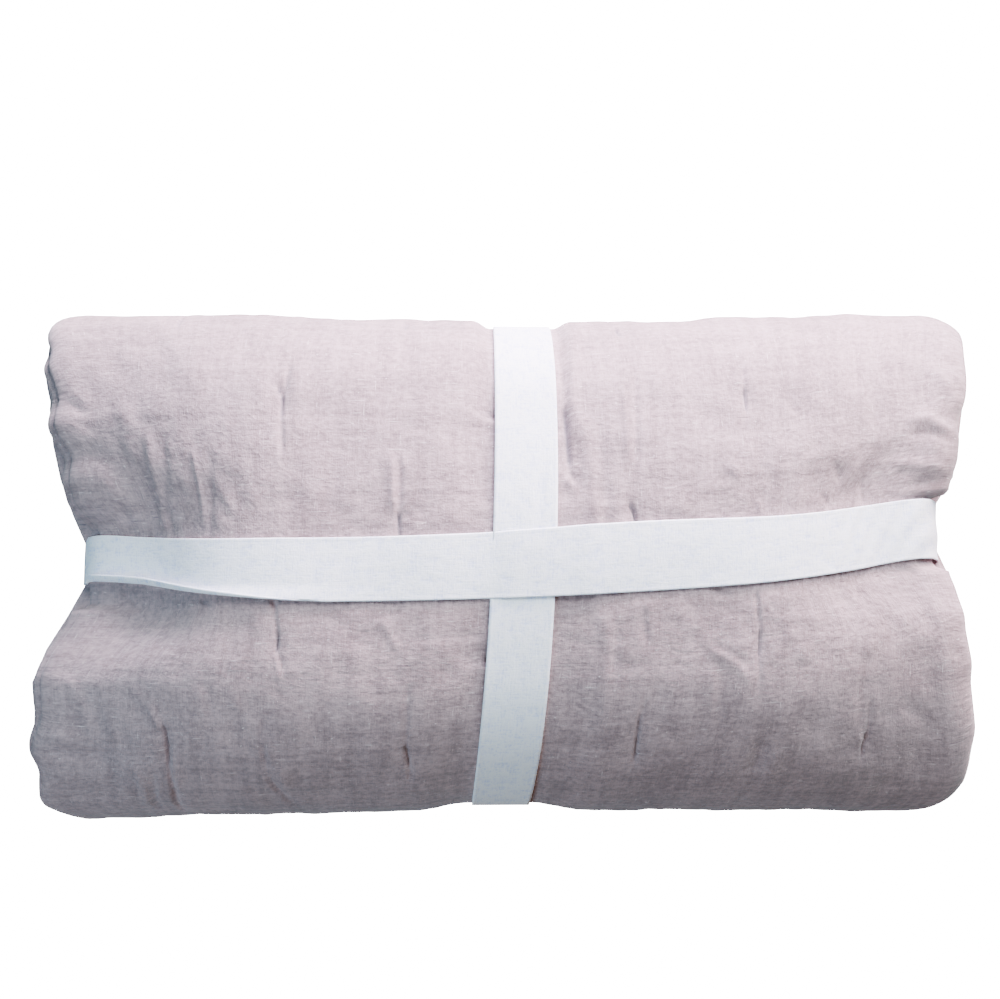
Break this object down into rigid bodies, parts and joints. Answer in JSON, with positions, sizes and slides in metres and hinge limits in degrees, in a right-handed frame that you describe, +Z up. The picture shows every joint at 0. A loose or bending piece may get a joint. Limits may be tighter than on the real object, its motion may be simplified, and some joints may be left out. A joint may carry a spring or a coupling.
{
  "type": "folded quilt tied with tape",
  "caption": "Padded linen quilt folded into a rectangular bundle on its back and tied lengthwise and crosswise with flat cotton tape.",
  "frame": {"origin": "middle of the bundle's underside, which rests on the surface", "axes": "+X along the bundle's long side, +Y to its back edge, +Z up through the folded layers"},
  "size_m": [0.6248, 0.3514, 0.1934],
  "materials": {
    "linen": "washed dusty pink linen, matte",
    "tape": "white cotton tape, matte"
  },
  "bodies": {
    "root": {"quilt": "linen", "tape_crosswise": "tape", "tape_lengthwise": "tape"}
  },
  "joints": []
}
